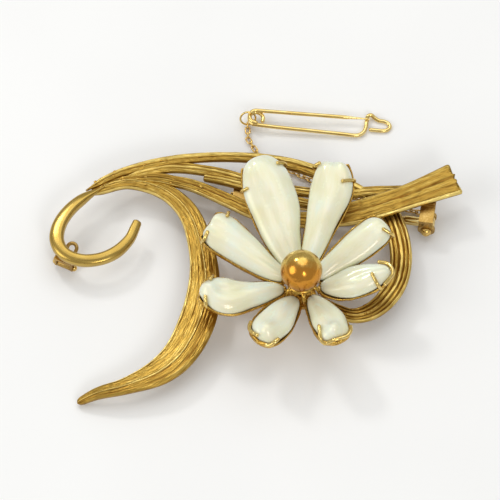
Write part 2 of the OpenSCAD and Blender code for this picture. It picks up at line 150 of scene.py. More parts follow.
@dataclass(frozen=True)
class Route:
    """A smooth line through stations of (x, y, z, width, thickness, lean)."""

    stations: tuple[tuple[float, ...], ...]

    def at(self, u: Array) -> Array:
        """Interpolated rows.

        Args:
            u: shares of the route, 0 to 1.

        Returns:
            One row for each share.
        """
        rows = np.array(self.stations, float)
        n = len(rows) - 1
        i = np.clip(np.floor(u * n).astype(int), 0, n - 1)
        t = (u * n - i)[:, None]
        a, b = rows[np.maximum(i - 1, 0)], rows[i]
        c, d = rows[i + 1], rows[np.minimum(i + 2, n)]
        return 0.5 * (2 * b + (c - a) * t + (2 * a - 5 * b + 4 * c - d) * t ** 2
                      + (3 * b - a - 3 * c + d) * t ** 3)

    def frames(self, u: Array) -> Frames:
        """Stations with their axes.

        Args:
            u: shares of the route, 0 to 1.

        Returns:
            Middles, axes, widths and thicknesses.
        """
        step = 0.01
        rows = self.at(u)
        ahead, behind = self.at(np.minimum(1, u + step)), self.at(np.maximum(0, u - step))
        along = unit(ahead[:, :3] - behind[:, :3])
        side = unit(np.cross([0.0, 0.0, 1.0], along))
        return Frames(rows[:, :3], along, side, np.cross(along, side), rows[:, 3], rows[:, 4])

    def curve(self, count: int) -> Array:
        """Evenly numbered points along the route, without widths."""
        return self.at(np.linspace(0, 1, count))[:, :3]


@dataclass
class Shape:
    """Points and faces of one mesh, with what its material reads."""

    points: Array
    faces: list[tuple[int, ...]]
    runs: Array | None = None
    relief: Array | None = None


def skin(rings: Array, runs: Array | None = None, relief: Array | None = None) -> Shape:
    """Closed skin over rings of points.

    Args:
        rings: points, as rings by points by three, turning right-handed about the way they run.
        runs: distance along and across at each point, for grain that follows the piece.
        relief: height of the surface texture at each point, 0 to 1.

    Returns:
        The shape, with a middle point in each end.
    """
    m, n = rings.shape[:2]
    points = np.concatenate([rings.reshape(-1, 3), rings[:1].mean(1), rings[-1:].mean(1)])
    nxt = [(k + 1) % n for k in range(n)]
    faces = [(i * n + k, i * n + nxt[k], (i + 1) * n + nxt[k], (i + 1) * n + k)
             for i in range(m - 1) for k in range(n)]
    faces += [(m * n, nxt[k], k) for k in range(n)]
    last = (m - 1) * n
    faces += [(m * n + 1, last + k, last + nxt[k]) for k in range(n)]

    def with_ends(values: Array | None, width: int) -> Array | None:
        """The values at the rings' points and at the two end points.

        Args:
            values: one row for each point of the rings, or None.
            width: numbers in each row.

        Returns:
            The rows with two more for the ends, or None.
        """
        if values is None:
            return None
        ends = np.stack([values[0].mean(0), values[-1].mean(0)]).reshape(2, width)
        return np.concatenate([values.reshape(-1, width), ends])

    flat = with_ends(relief, 1)
    return Shape(points, faces, with_ends(runs, 2), None if flat is None else flat[:, 0])


def tube(path: Array, radius: Array, sides: int = 20, flatten: float = 1.0) -> Shape:
    """Round bar along a path, with round ends.

    Args:
        path: points of the middle line.
        radius: radius at each point.
        sides: points round the bar.
        flatten: height over width of the section.

    Returns:
        The shape.
    """
    along = unit(np.gradient(path, axis=0))
    side = np.zeros_like(path)
    first = np.array([0.0, 0, 1]) if abs(along[0][2]) < 0.9 else np.array([0.0, 1, 0])
    side[0] = unit(np.cross(first, along[0]))
    for i in range(1, len(path)):
        kept = side[i - 1] - along[i] * np.dot(side[i - 1], along[i])
        side[i] = unit(kept)
    up = np.cross(along, side)
    caps = np.radians([78, 60, 40, 20])
    shrink, reach = np.cos(caps), np.sin(caps)
    start = path[0] - along[0] * radius[0] * reach[:, None]
    end = path[-1] + along[-1] * radius[-1] * reach[::-1, None]
    middle = np.concatenate([start, path, end])
    size = np.concatenate([radius[0] * shrink, radius, radius[-1] * shrink[::-1]])
    grow = [1] * 4

    def spread(a: Array) -> Array:
        """Axes for the end rings too."""
        return np.concatenate([np.outer(grow, a[0]), a, np.outer(grow, a[-1])])

    s, n = spread(side), spread(up)
    w = 2 * np.pi * (np.arange(sides) + 0.5) / sides
    rings = (middle[:, None] + size[:, None, None]
             * (s[:, None] * np.cos(w)[None, :, None] + n[:, None] * np.sin(w)[None, :, None] * flatten))
    travel = np.concatenate([[0], np.cumsum(np.linalg.norm(np.diff(middle, axis=0), axis=1))])
    runs = np.stack(np.broadcast_arrays(travel[:, None], (w * radius.mean())[None]), -1)
    return skin(rings, runs)


def merge(shapes: list[Shape]) -> Shape:
    """Several shapes as one, without their reliefs.

    Args:
        shapes: the shapes to join.

    Returns:
        One shape with all their points and faces.
    """
    points, faces, runs, base = [], [], [], 0
    for s in shapes:
        points.append(s.points)
        runs.append(s.runs if s.runs is not None else np.zeros((len(s.points), 2)))
        faces += [tuple(k + base for k in f) for f in s.faces]
        base += len(s.points)
    return Shape(np.concatenate(points), faces, np.concatenate(runs))


def lathe(profile: Array, middle: Array, sides: int = 96) -> Shape:
    """Solid of revolution about a vertical line.

    Args:
        profile: rows of (radius, height) from the bottom to the top.
        middle: a point on the line.
        sides: points round it.

    Returns:
        The shape.
    """
    w = 2 * np.pi * np.arange(sides) / sides
    ring = np.stack([np.cos(w), np.sin(w), 0 * w], -1)
    rings = profile[:, None, :1] * ring[None] + np.array([0, 0, 1.0]) * profile[:, None, 1:2]
    travel = np.concatenate([[0], np.cumsum(np.linalg.norm(np.diff(profile, axis=0), axis=1))])
    runs = np.stack(np.broadcast_arrays(w[None] * profile[:, :1].max(), travel[:, None]), -1)
    return skin(rings + middle, runs)


# ---------- placing pieces ----------


class Layout:
    """Where the maker's layout lies in the frame."""

    FLOWER = (7.6, -9.8)

    def __init__(self) -> None:
        """Finds the layout's shift from the frame's bead."""
        low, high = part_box("centre_bead")
        middle = (low + high) / 2 / MM
        self.shift = np.array([middle.x - self.FLOWER[0], middle.y - self.FLOWER[1], 0.0])
        self.joints = {j["name"]: j for j in frame["joints"]}

    def pivot(self, joint: str) -> Array:
        """A joint's place in the maker's layout."""
        return np.array(self.joints[joint]["pos_m"]) / MM - self.shift

    def piece(self, name: str, shape: Shape, body: Body, slot: Slot,
              material: bpy.types.Material, nodes: tuple[str, ...] = ()) -> bpy.types.Object:
        """Turns a shape into a piece of the brooch.

        Args:
            name: the piece's name.
            shape: its points and faces, in the maker's layout.
            body: what it rides on.
            slot: the record's slot for its finish; not used.
            material: its finish.
            nodes: the frame's nodes that it stands for.

        Returns:
            The object.
        """
        mesh = bpy.data.meshes.new(name)
        mesh.from_pydata(((shape.points + self.shift) * MM).tolist(), [], shape.faces)
        mesh.validate()
        mesh.shade_smooth()
        if shape.runs is not None:
            corner = np.empty(len(mesh.loops), np.int32)
            mesh.loops.foreach_get("vertex_index", corner)
            layer = mesh.uv_layers.new(name="run")
            layer.data.foreach_set("uv", (shape.runs[corner] * 0.1).astype(np.float32).ravel())
        if shape.relief is not None:
            store = mesh.attributes.new("relief", "FLOAT", "POINT")
            store.data.foreach_set("value", shape.relief.astype(np.float32))
        mesh.materials.append(material)
        made = bpy.data.objects.new(name, mesh)
        bpy.context.scene.collection.objects.link(made)
        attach(made, body.value)
        if nodes:
            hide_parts(*nodes)
        LOG.info("%s: %d points", name, len(mesh.vertices))
        return made


# ---------- finishes ----------


class Tree:
    """A material being put together from nodes."""

    def __init__(self, name: str) -> None:
        """Starts a material with one main shader.

        Args:
            name: the material's name.
        """
        self.material = bpy.data.materials.new(name)
        self.material.use_nodes = True
        self.nodes = self.material.node_tree.nodes
        self.links = self.material.node_tree.links
        self.shader = self.nodes["Principled BSDF"]

    def add(self, kind: str, sockets: dict[str | int, object] | None = None,
            **settings: object) -> bpy.types.Node:
        """Adds a node.

        Args:
            kind: the node's type, without its prefix.
            sockets: input name or number to a value or to another node's output.
            settings: the node's own properties.

        Returns:
            The node.
        """
        node = self.nodes.new("ShaderNode" + kind)
        for key, value in settings.items():
            setattr(node, key, value)
        self.set(node, sockets or {})
        return node

    def set(self, node: bpy.types.Node, sockets: dict[str | int, object]) -> None:
        """Sets or links a node's inputs.

        Args:
            node: the node.
            sockets: input name or number to a value or to another node's output.
        """
        for key, value in sockets.items():
            if isinstance(value, bpy.types.NodeSocket):
                self.links.new(value, node.inputs[key])
            else:
                node.inputs[key].default_value = value

    def ramp(self, value: bpy.types.NodeSocket, stops: list[tuple[float, Colour]]) -> bpy.types.NodeSocket:
        """A colour that follows a value.

        Args:
            value: what it follows.
            stops: places from 0 to 1 with their colours.

        Returns:
            The colour's socket.
        """
        node = self.add("ValToRGB", {0: value})
        band = node.color_ramp
        while len(band.elements) < len(stops):
            band.elements.new(0.5)
        for element, (place, colour) in zip(band.elements, stops):
            element.position = place
            element.color = (*colour, 1)
        return node.outputs[0]

    def maths(self, what: str, a: object, b: object) -> bpy.types.NodeSocket:
        """One sum, held between 0 and 1."""
        return self.add("Math", {0: a, 1: b}, operation=what, use_clamp=True).outputs[0]

    def spread(self, value: bpy.types.NodeSocket, low: float, high: float) -> bpy.types.NodeSocket:
        """A value from 0 to 1 mapped to low and high."""
        return self.add("MapRange", {0: value, 3: low, 4: high}).outputs[0]

    def grain(self, along: float, across: float, detail: float = 3.0) -> bpy.types.NodeSocket:
        """Noise that follows the piece's own length.

        Args:
            along: noise cells for each centimetre of length.
            across: noise cells for each centimetre of width.
            detail: how many finer layers it has.

        Returns:
            The noise, 0 to 1.
        """
        run = self.add("UVMap", uv_map="run")
        scaled = self.add("Mapping", {"Vector": run.outputs[0], "Scale": (along, across, 1)})
        return self.add("TexNoise", {"Vector": scaled.outputs[0], "Scale": 1.0, "Detail": detail,
                                     "Roughness": 0.6}).outputs[0]

    def lumps(self, size: float, detail: float = 2.0) -> bpy.types.NodeSocket:
        """Noise in space, with lumps of about a size in millimetres."""
        where = self.add("TexCoord").outputs["Object"]
        return self.add("TexNoise", {"Vector": where, "Scale": 1 / (size * MM), "Detail": detail}).outputs[0]


@dataclass(frozen=True)
class Metal:
    """A gold finish.

    deep, body and bright are its colours in hollows, on its faces and on ridges. Where it follows the
    relief, the darker hollows are painted shade and the lighter ridges a painted highlight; elsewhere
    the three follow random tone. grain is the noise cells for each centimetre along and across, or
    None where it has no direction. below is a redder colour painted on the half that faces down the
    brooch, a painted reflection.
    """

    name: str
    deep: Colour
    body: Colour
    bright: Colour
    rough: tuple[float, float]
    grain: tuple[float, float] | None = None
    cut: float = 0.0
    bump: float = 0.01
    paints_light_by_relief: bool = False
    patches: float = 3.0
    below: Colour | None = None

    def material(self) -> bpy.types.Material:
        """Builds the finish's material.

        Returns:
            The material.
        """
        t = Tree(self.name)
        wide = t.lumps(self.patches)
        fine = t.grain(*self.grain) if self.grain else t.lumps(0.25, 4.0)
        tone = t.maths("ADD", t.maths("MULTIPLY", fine, 0.55), t.maths("MULTIPLY", wide, 0.45))
        # When the finish follows the relief, the colour runs from deep in the hollows, painted shade, to
        # bright on the ridges, a painted highlight.
        if self.paints_light_by_relief:
            relief = t.add("Attribute", attribute_name="relief").outputs["Fac"]
            tone = t.maths("ADD", t.maths("MULTIPLY", relief, 0.62), t.maths("MULTIPLY", tone, 0.38))
        colour = t.ramp(tone, [(0.22, self.deep), (0.5, self.body), (0.74, self.bright)])
        # Painted reflection: the half of the piece at low y, which faces down the brooch, is mixed towards
        # the redder below colour.
        if self.below:
            down = t.add("SeparateXYZ", {0: t.add("TexCoord").outputs["Generated"]}).outputs[1]
            painted_reflection_place = t.maths("ADD", down, t.maths("MULTIPLY", wide, 0.25))
            share = t.ramp(painted_reflection_place, [(0.45, (1, 1, 1)), (0.70, (0, 0, 0))])
            mixed = t.add("Mix", {0: share, 6: colour, 7: (*self.below, 1)}, data_type="RGBA")
            colour = mixed.outputs[2]
        height = fine
        if self.cut:
            lines = t.grain(self.grain[0] * 2.2, self.grain[1] * 2.5, 1.0)
            height = t.maths("ADD", t.maths("MULTIPLY", fine, 0.6), t.maths("MULTIPLY", lines, self.cut))
        normal = t.add("Bump", {"Height": height, "Distance": self.bump * MM, "Strength": 1.0})
        t.set(t.shader, {"Base Color": colour, "Metallic": 1.0, "Normal": normal.outputs[0],
                         "Roughness": t.spread(fine, *self.rough)})
        return t.material


@dataclass(frozen=True)
class Nacre:
    """Polished mother-of-pearl: cream with a cool sheen and faint growth lines."""

    name: str
    cream: Colour
    warm: Colour
    cool: Colour
    blush: Colour

    def material(self) -> bpy.types.Material:
        """Builds the finish's material.

        Returns:
            The material.
        """
        t = Tree(self.name)
        cloud = t.lumps(5.0, 1.0)
        lines = t.grain(2.5, 14.0, 2.0)
        swirl = t.grain(5.0, 7.0, 2.0)
        base = t.ramp(t.maths("ADD", t.maths("MULTIPLY", cloud, 0.7), t.maths("MULTIPLY", lines, 0.3)),
                      [(0.34, self.warm), (0.52, self.cream), (0.68, self.cool)])
        blush = t.ramp(swirl, [(0.3, self.blush), (0.55, self.cream), (0.75, self.cool)])
        mixed = t.add("Mix", {0: 0.35, 6: base, 7: blush}, data_type="RGBA")
        normal = t.add("Bump", {"Height": lines, "Distance": 0.006 * MM, "Strength": 0.6})
        t.set(t.shader, {"Base Color": mixed.outputs[2], "Roughness": t.spread(swirl, 0.20, 0.32),
                         "Normal": normal.outputs[0], "Subsurface Weight": 0.25,
                         "Subsurface Radius": (1.0, 0.9, 0.7), "Subsurface Scale": 0.0012,
                         "Coat Weight": 0.8, "Coat Roughness": 0.07, "IOR": 1.56,
                         "Thin Film Thickness": 420.0, "Thin Film IOR": 1.42})
        return t.material


class Finishes:
    """Every finish of the brooch, made once."""

    def __init__(self) -> None:
        """Builds the materials."""
        # bark_gold's deep colour is painted shade in the hollows, and its bright colour is a painted
        # highlight on the ridges.
        self.bark = Metal("bark_gold", (0.20, 0.080, 0.010), (0.44, 0.275, 0.052), (0.86, 0.66, 0.21),
                          (0.26, 0.42), (3.0, 60.0), 0.5, 0.03, paints_light_by_relief=True).material()
        self.satin = Metal("satin_gold", (0.40, 0.25, 0.052), (0.50, 0.335, 0.080), (0.66, 0.47, 0.14),
                           (0.20, 0.32), (2.0, 70.0), 0.3, 0.006).material()
        # polished_gold's below colour is a painted reflection on the lower half of the bead.
        self.polished = Metal("polished_gold", (0.50, 0.29, 0.045), (0.66, 0.45, 0.11), (0.80, 0.58, 0.19),
                              (0.13, 0.26), patches=0.9, bump=0.012, below=(0.62, 0.27, 0.038)).material()
        self.setting = Metal("setting_gold", (0.30, 0.13, 0.018), (0.56, 0.33, 0.06), (0.82, 0.60, 0.20),
                             (0.18, 0.36), bump=0.02).material()
        self.claw = Metal("claw_gold", (0.56, 0.37, 0.09), (0.76, 0.55, 0.18), (0.95, 0.78, 0.36),
                          (0.10, 0.22), patches=1.2, bump=0.006).material()
        self.fitting = Metal("fitting_gold", (0.26, 0.13, 0.035), (0.45, 0.28, 0.075), (0.68, 0.47, 0.17),
                             (0.24, 0.42), patches=1.5, bump=0.012).material()
        self.chain = Metal("chain_gold", (0.46, 0.26, 0.06), (0.68, 0.45, 0.13), (0.90, 0.68, 0.28),
                           (0.16, 0.30), patches=0.8, bump=0.004).material()
        self.pin = Metal("pin_gold", (0.66, 0.45, 0.12), (0.84, 0.63, 0.23), (0.97, 0.82, 0.42),
                         (0.12, 0.22), (3.0, 40.0), bump=0.004).material()
        self.pearl = Nacre("pearl", (0.84, 0.83, 0.63), (0.76, 0.72, 0.44), (0.78, 0.87, 0.80),
                           (0.90, 0.83, 0.70)).material()


# ---------- stems and leaves ----------


@dataclass(frozen=True)
class Strand:
    """One strand of a stem: its edges across the stem, -1 to 1, and how it stands out."""

    start: float
    end: float
    lift: float = 0.0
    crown: float = 0.05


@dataclass
class BarkStem:
    """A stem or leaf of soldered strands with a bark texture cut along them."""

    name: str
    route: Route
    strands: tuple[Strand, ...]
    seed: int
    rings: int = 300
    squareness: float = 3.4
    texture: float = 0.05
    groove: float = 0.05
    torn_end: float = 0.0
    taper: float = 3.0
    round_tip: float = 0.0
    across: int = 68
    under: int = 18

    def relief(self, far: Array, v: Array, width: Array) -> Array:
        """Height of the strands and their bark.

        Args:
            far: distance along the stem at each point.
            v: place across it, -1 to 1.
            width: the stem's width at each point.

        Returns:
            Heights in millimetres.
        """
        grain = Grain(self.seed)
        wander = 0.10 * grain.at(far * 0.12, v * 1.3 + 7)
        moved = v + wander * (1 - v ** 2)
        height = np.zeros_like(moved)
        for s in self.strands:
            half = (s.end - s.start) / 2
            x = (moved - (s.start + s.end) / 2) / half
            inside = np.abs(x) <= 1
            height = np.where(inside, s.lift + s.crown * (1 - x ** 2), height)
            gap = np.abs(moved - s.start) * width / 2
            if s.start > -0.99:
                height = height - self.groove * np.exp(-(gap / 0.11) ** 2)
        y = v * width / 2
        coarse = grain.at(far * 0.20 + 31, y * 3.3 + 5)
        middle = grain.at(far * 0.45 + 9, y * 7.5 + 50)
        fine = grain.at(far * 1.1 + 77, y * 13.0 + 90)
        nick = np.maximum(0, grain.at(far * 1.6 + 3, y * 1.7 + 14) - 0.5)
        bark = 0.15 * coarse + 0.5 * middle + 0.75 * fine
        return height + self.texture * bark - 0.05 * nick

    def shape(self) -> Shape:
        """The stem's mesh.

        Returns:
            The stem, with its bark as relief on the top.
        """
        u = np.linspace(0, 1, self.rings)
        f = self.route.frames(u)
        far = np.concatenate([[0], np.cumsum(np.linalg.norm(np.diff(f.middle, axis=0), axis=1))])
        top = np.sin(np.pi / 2 * np.linspace(1, -1, self.across))
        below = np.sin(np.pi / 2 * np.linspace(-1, 1, self.under))[1:-1]
        v = np.concatenate([top, below])
        lid = np.concatenate([np.ones(len(top)), -np.ones(len(below))])
        q = superellipse(v, self.squareness)
        grid_far = np.broadcast_to(far[:, None], (len(u), len(v)))
        grid_v = np.broadcast_to(v[None], grid_far.shape)
        width = np.broadcast_to(f.width[:, None], grid_far.shape)
        height = self.relief(grid_far, grid_v, width)
        fade = np.where(lid > 0, ease(q, 0.15, 0.75), 0.0)[None]
        ends = 1 - 0.22 * (1 - ease(far, 0, 0.35)) ** 2 - 0.22 * (1 - ease(far[-1] - far, 0, 0.35)) ** 2
        if self.torn_end:
            ends = 1 - 0.5 * (1 - ease(far, 0, 0.35)) ** 2 - 0.1 * (1 - ease(far[-1] - far, 0, 0.2)) ** 2
        if self.round_tip:
            left = np.clip((far[-1] - far) / self.round_tip, 0, 1)
            ends = ends * np.sqrt(np.maximum(0.02, 1 - (1 - left) ** 2))
        if self.taper:
            ends = ends * (0.30 + 0.70 * ease(far, 0, self.taper))
        half_w, half_t = f.width / 2 * ends, f.thick / 2 * ends
        height = height * np.minimum(1, ends * 1.2)[:, None]
        rings = (f.middle[:, None] + f.side[:, None] * (half_w[:, None] * v)[..., None]
                 + f.up[:, None] * (half_t[:, None] * q * lid + height * fade - 0.04 * lid * fade)[..., None])
        if self.torn_end:
            rough = Grain(self.seed + 1).at(grid_v * f.width[-1] * 1.6, 0 * grid_v)
            teeth = Grain(self.seed + 2).at(grid_v * f.width[-1] * 4.5, 0 * grid_v)
            pull = ease(grid_far, far[-1] - 1.0, far[-1]) * self.torn_end * (0.6 * rough + 0.5 * teeth - 0.4)
            rings = rings + f.along[:, None] * pull[..., None]
        runs = np.stack([grid_far, grid_v * width / 2], -1)
        # tall feeds the relief attribute that bark_gold is coloured by: hollows get painted shade and ridges
        # a painted highlight. The underside's fixed 0.35 colours it darker than the top, also as painted
        # shade.
        tall = np.clip(0.5 + (height - height.mean()) / 0.34, 0, 1)
        return skin(rings, runs, np.where(lid > 0, tall, 0.35))


class Spray:
    """The brooch's stems and leaves."""

    ROUTES: dict[str, tuple[tuple[float, ...], ...]] = {
        "curl_stem": (
            (-21.9, 8.6, 4.1, 1.2, 1.4), (-24.9, 6.6, 4.1, 1.6, 1.7), (-27.0, 4.6, 4.1, 1.9, 1.8),
            (-28.4, 2.3, 4.1, 2.1, 1.8), (-28.9, -0.1, 4.1, 2.2, 1.8), (-28.3, -2.1, 4.1, 2.1, 1.8),
            (-26.9, -3.4, 4.1, 1.9, 1.8), (-24.6, -4.0, 4.1, 1.8, 1.8), (-22.0, -3.6, 4.1, 1.8, 1.8),
            (-19.8, -2.4, 4.1, 1.8, 1.8), (-18.1, -0.5, 4.1, 1.6, 1.7), (-17.3, 1.3, 4.1, 1.5, 1.6),
            (-16.8, 2.7, 4.1, 1.3, 1.4)),
        "long_leaf": (
            (-24.9, 7.1, 3.7, 1.2, 0.9), (-21.8, 8.6, 3.7, 1.9, 1.1), (-18.4, 9.5, 3.7, 2.1, 1.1),
            (-14.5, 8.7, 3.7, 2.4, 1.1), (-11.5, 7.0, 3.7, 2.8, 1.1), (-9.2, 4.2, 3.8, 3.2, 1.1),
            (-7.8, 0.4, 4.0, 3.6, 1.2), (-6.9, -4.4, 4.1, 4.2, 1.2), (-6.9, -9.0, 4.1, 4.9, 1.2),
            (-7.8, -14.0, 4.0, 5.5, 1.2), (-10.1, -19.0, 3.8, 5.1, 1.2), (-13.4, -22.3, 3.5, 4.3, 1.2),
            (-18.3, -24.4, 3.0, 2.6, 1.2), (-22.5, -25.2, 2.1, 1.8, 1.2), (-25.6, -26.0, 0.5, 1.0, 0.9)),
        "top_stem": (
            (-24.6, 7.9, 4.1, 0.9, 0.9), (-20.7, 10.3, 4.1, 1.2, 1.0), (-16.9, 11.8, 4.1, 1.4, 1.0),
            (-12.4, 12.9, 4.1, 1.5, 1.0), (-7.5, 13.5, 4.1, 1.5, 1.0), (-2.8, 13.6, 4.1, 1.5, 1.0),
            (1.6, 13.3, 4.1, 1.7, 1.0), (6.0, 12.4, 4.1, 2.0, 1.0), (9.5, 11.3, 4.0, 2.1, 1.0),
            (13.5, 9.6, 3.8, 2.1, 1.0), (16.8, 7.8, 3.7, 1.8, 1.0)),
        "second_stem": (
            (-19.5, 9.9, 3.9, 1.0, 0.9), (-15.0, 11.4, 3.9, 1.5, 1.0), (-11.0, 11.9, 3.9, 1.7, 1.0),
            (-7.0, 11.5, 3.8, 1.7, 1.0), (-3.5, 10.8, 3.7, 1.7, 1.0), (0.0, 9.7, 3.6, 1.6, 1.0),
            (5.0, 8.4, 3.6, 1.6, 1.0), (12.0, 7.6, 3.6, 1.6, 1.0), (18.5, 7.9, 3.8, 1.7, 1.0),
            (24.0, 8.0, 4.0, 1.6, 0.9)),
        "short_stem": (
            (-6.9, 10.2, 4.2, 1.4, 1.1), (-4.0, 9.6, 4.2, 1.6, 1.1), (-1.0, 8.8, 4.1, 1.7, 1.0),
            (3.0, 7.3, 4.0, 1.6, 1.0), (8.0, 5.9, 3.9, 1.5, 0.9), (13.0, 5.2, 3.6, 1.2, 0.8)),
        "flare_leaf": (
            (-21.5, 9.3, 3.8, 1.1, 0.9), (-15.0, 10.1, 3.9, 1.6, 1.0), (-11.1, 9.5, 3.9, 1.8, 1.0),
            (-7.9, 8.5, 4.0, 2.0, 1.0), (-3.2, 6.1, 4.2, 2.2, 1.1), (0.3, 4.2, 4.4, 2.3, 1.1),
            (3.8, 3.0, 4.5, 2.4, 1.1), (8.0, 2.6, 4.6, 2.6, 1.1), (12.0, 2.9, 4.8, 3.2, 1.1),
            (16.2, 3.7, 5.0, 3.9, 1.1), (20.3, 5.0, 5.2, 4.0, 1.1), (24.5, 6.5, 5.4, 4.2, 1.1),
            (30.8, 9.1, 5.6, 5.4, 1.1)),
        "loop_leaf": (
            (15.0, 8.8, 3.5, 1.2, 0.8), (18.0, 7.4, 3.5, 2.2, 0.9), (20.2, 5.4, 3.5, 2.7, 1.0),
            (21.6, 2.6, 3.6, 3.1, 1.0), (22.4, -1.0, 3.6, 3.3, 1.0), (22.5, -4.2, 3.6, 3.3, 1.0),
            (21.8, -7.6, 3.6, 3.2, 1.0), (20.1, -10.4, 3.6, 3.1, 1.0), (17.9, -12.3, 3.6, 2.8, 1.0),
            (15.4, -13.0, 3.6, 2.3, 1.0), (13.0, -12.2, 3.6, 2.0, 1.0), (9.2, -10.2, 3.7, 1.8, 1.0)),
    }

    def __init__(self, layout: Layout, finishes: Finishes) -> None:
        """Keeps what the stems are built with.

        Args:
            layout: where pieces go.
            finishes: what they are dressed in.
        """
        self.layout = layout
        self.finishes = finishes

    def stems(self) -> list[BarkStem]:
        """The bark-textured stems and leaves.

        Returns:
            One entry for each, in the order in which they are built.
        """
        def stem(name: str, seed: int, strands: tuple[Strand, ...], **more: float) -> BarkStem:
            """One stem along its own route."""
            return BarkStem(name, Route(self.ROUTES[name]), strands, seed, **more)

        return [
            stem("long_leaf", 11, (
                Strand(-1, -0.86, 0.12, 0.05), Strand(-0.86, -0.34, 0.0, 0.015),
                Strand(-0.34, 0.04, 0.01, 0.02), Strand(0.04, 0.13, 0.15, 0.06),
                Strand(0.13, 0.60, -0.03, 0.02), Strand(0.60, 1, -0.01, 0.03)), rings=420, across=112,
                groove=0.03, round_tip=1.0),
            stem("top_stem", 23, (
                Strand(-1, -0.05, 0.0, 0.05), Strand(-0.05, 1, 0.06, 0.08))),
            stem("second_stem", 37, (
                Strand(-1, -0.2, 0.0, 0.05), Strand(-0.2, 0.45, 0.05, 0.05), Strand(0.45, 1, 0.0, 0.04))),
            stem("short_stem", 41, (
                Strand(-1, -0.3, 0.0, 0.08), Strand(-0.3, 0.35, 0.05, 0.06), Strand(0.35, 1, 0.0, 0.06)),
                rings=160, taper=0.0),
            stem("flare_leaf", 53, (
                Strand(-1, -0.82, 0.13, 0.06), Strand(-0.82, -0.35, 0.0, 0.015),
                Strand(-0.35, 0.05, 0.03, 0.02), Strand(0.05, 0.14, -0.05, 0.02),
                Strand(0.14, 0.6, 0.0, 0.02), Strand(0.6, 1, 0.03, 0.03)),
                rings=380, across=112, torn_end=0.35, groove=0.035),
            stem("loop_leaf", 67, (
                Strand(-1, -0.62, 0.05, 0.08), Strand(-0.62, -0.20, 0.0, 0.06),
                Strand(-0.20, 0.25, 0.05, 0.07), Strand(0.25, 0.66, 0.0, 0.06),
                Strand(0.66, 1, 0.05, 0.08)), rings=320, across=96, groove=0.11),
        ]

    def curl(self) -> Shape:
        """The smooth curled stem, with a satin top and round shoulders.

        Returns:
            The shape.
        """
        u = np.linspace(0, 1, 320)
        f = Route(self.ROUTES["curl_stem"]).frames(u)
        far = np.concatenate([[0], np.cumsum(np.linalg.norm(np.diff(f.middle, axis=0), axis=1))])
        top = np.sin(np.pi / 2 * np.linspace(1, -1, 40))
        v = np.concatenate([top, np.sin(np.pi / 2 * np.linspace(-1, 1, 20))[1:-1]])
        lid = np.concatenate([np.ones(40), -np.ones(18)])
        q = superellipse(v, 2.7)
        ends = 0.45 + 0.55 * ease(far, 0, 4.5) - 0.45 * (1 - ease(far[-1] - far, 0, 0.45)) ** 3
        wave = 0.02 * Grain(5).at(far[:, None] * 0.5, v[None] * 0.8)
        tilt = 0.16 * v * (1 - np.abs(v) ** 3) * (lid > 0)
        rings = (f.middle[:, None] + f.side[:, None] * (f.width[:, None] / 2 * ends[:, None] * v)[..., None]
                 + f.up[:, None] * (f.thick[:, None] / 2 * ends[:, None] * q * lid + tilt + wave)[..., None])
        runs = np.stack(np.broadcast_arrays(far[:, None], f.width[:, None] / 2 * v[None]), -1)
        return skin(rings, runs)

    def solder(self) -> Shape:
        """Grains of solder where the stems were joined.

        Returns:
            All the grains as one shape.
        """
        chance = np.random.default_rng(19)
        grains = []
        for name, low, high in (("top_stem", 0.03, 0.30), ("long_leaf", 0.04, 0.24),
                                ("flare_leaf", 0.04, 0.30), ("loop_leaf", 0.72, 0.94)):
            f = Route(self.ROUTES[name]).frames(chance.uniform(low, high, 6))
            across = chance.uniform(-0.8, 0.8, 6)[:, None] * f.width[:, None] / 2
            seat = f.middle + f.side * across + f.up * (f.thick[:, None] / 2 + 0.03)
            for place, along in zip(seat, f.along):
                size = chance.uniform(0.09, 0.17)
                line = place + along * np.linspace(-size * 0.7, size * 0.7, 5)[:, None]
                grains.append(tube(line, np.full(5, size), 12, 0.7))
        return merge(grains)

    def build(self) -> None:
        """Makes every stem and leaf."""
        for s in self.stems():
            self.layout.piece(f"{s.name}_bark", s.shape(), Body.BROOCH, Slot.BARK, self.finishes.bark,
                              (s.name,))
        self.layout.piece("solder_grains", self.solder(), Body.BROOCH, Slot.SETTING,
                          self.finishes.setting)
        self.layout.piece("curl_ribbon", self.curl(), Body.BROOCH, Slot.SATIN, self.finishes.satin,
                          ("curl_stem",))


# ---------- the flower ----------


